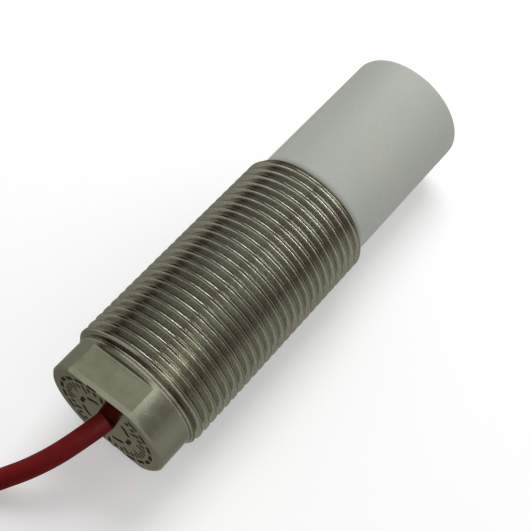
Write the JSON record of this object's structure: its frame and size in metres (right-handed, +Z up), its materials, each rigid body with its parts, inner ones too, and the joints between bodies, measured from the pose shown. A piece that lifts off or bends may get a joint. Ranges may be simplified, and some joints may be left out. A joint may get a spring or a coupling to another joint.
{
  "type": "capacitive proximity sensor",
  "caption": "Cylindrical capacitive proximity sensor with a threaded metal barrel, spanner flats, a long white plastic sensing head and a rear cable.",
  "frame": {"origin": "on the table under the middle of the sensor, which lies on its thread crests", "axes": "+X along the barrel towards the sensing face, +Z up and square to the spanner flats"},
  "size_m": [0.2394, 0.0426, 0.0332],
  "materials": {
    "barrel_metal": "turned stainless steel, satin with fine tool marks",
    "ptfe": "matte white PTFE, faint turning rings",
    "seal_rubber": "matte black rubber",
    "brass": "satin brass",
    "spacer_plastic": "matte cream plastic",
    "board": "satin green solder mask",
    "chip_plastic": "matte black moulded package",
    "chip_ceramic": "matte ceramic with tinned ends",
    "can_metal": "satin aluminium can",
    "pin_metal": "tinned pins and strands",
    "holder_plastic": "matte dark grey plastic",
    "resin": "satin dark casting resin",
    "crimp_metal": "plated steel",
    "cable_red": "smooth dark red silicone sheath",
    "core_brown": "brown core insulation",
    "core_black": "black core insulation",
    "core_blue": "blue core insulation",
    "tie_plastic": "black nylon tie"
  },
  "bodies": {
    "root": {"barrel": "barrel_metal", "sensing_head": "ptfe", "front_seal": "seal_rubber", "rear_seal": "seal_rubber", "sensing_electrode": "brass", "electrode_spacer": "spacer_plastic", "guard_cup": "brass", "pin_bush": "spacer_plastic", "contact_pin": "brass", "oscillator_board": "board", "oscillator_chip": "chip_plastic", "tuning_capacitors": "chip_ceramic", "board_pins": "pin_metal", "pin_header": "chip_plastic", "main_board": "board", "front_board_holder": "holder_plastic", "rear_board_holder": "holder_plastic", "board_sleeve": "spacer_plastic", "signal_chip": "chip_plastic", "output_transistor": "chip_plastic", "voltage_regulator": "chip_plastic", "filter_capacitor": "can_metal", "choke_coil": "holder_plastic", "protection_diode": "chip_plastic", "chip_resistors": "chip_ceramic", "chip_capacitors": "chip_ceramic", "core_brown": "core_brown", "core_black": "core_black", "core_blue": "core_blue", "resin_filling": "resin", "crimp_ring": "crimp_metal", "clamp_washer": "crimp_metal", "cable_grommet": "seal_rubber", "cable_entry": "cable_red", "cable": "cable_red", "cable_hank": "cable_red", "hank_tie_left": "tie_plastic", "hank_tie_right": "tie_plastic", "cable_end": "cable_red", "lead_brown": "core_brown", "lead_black": "core_black", "lead_blue": "core_blue", "tinned_ends": "pin_metal"}
  },
  "joints": []
}
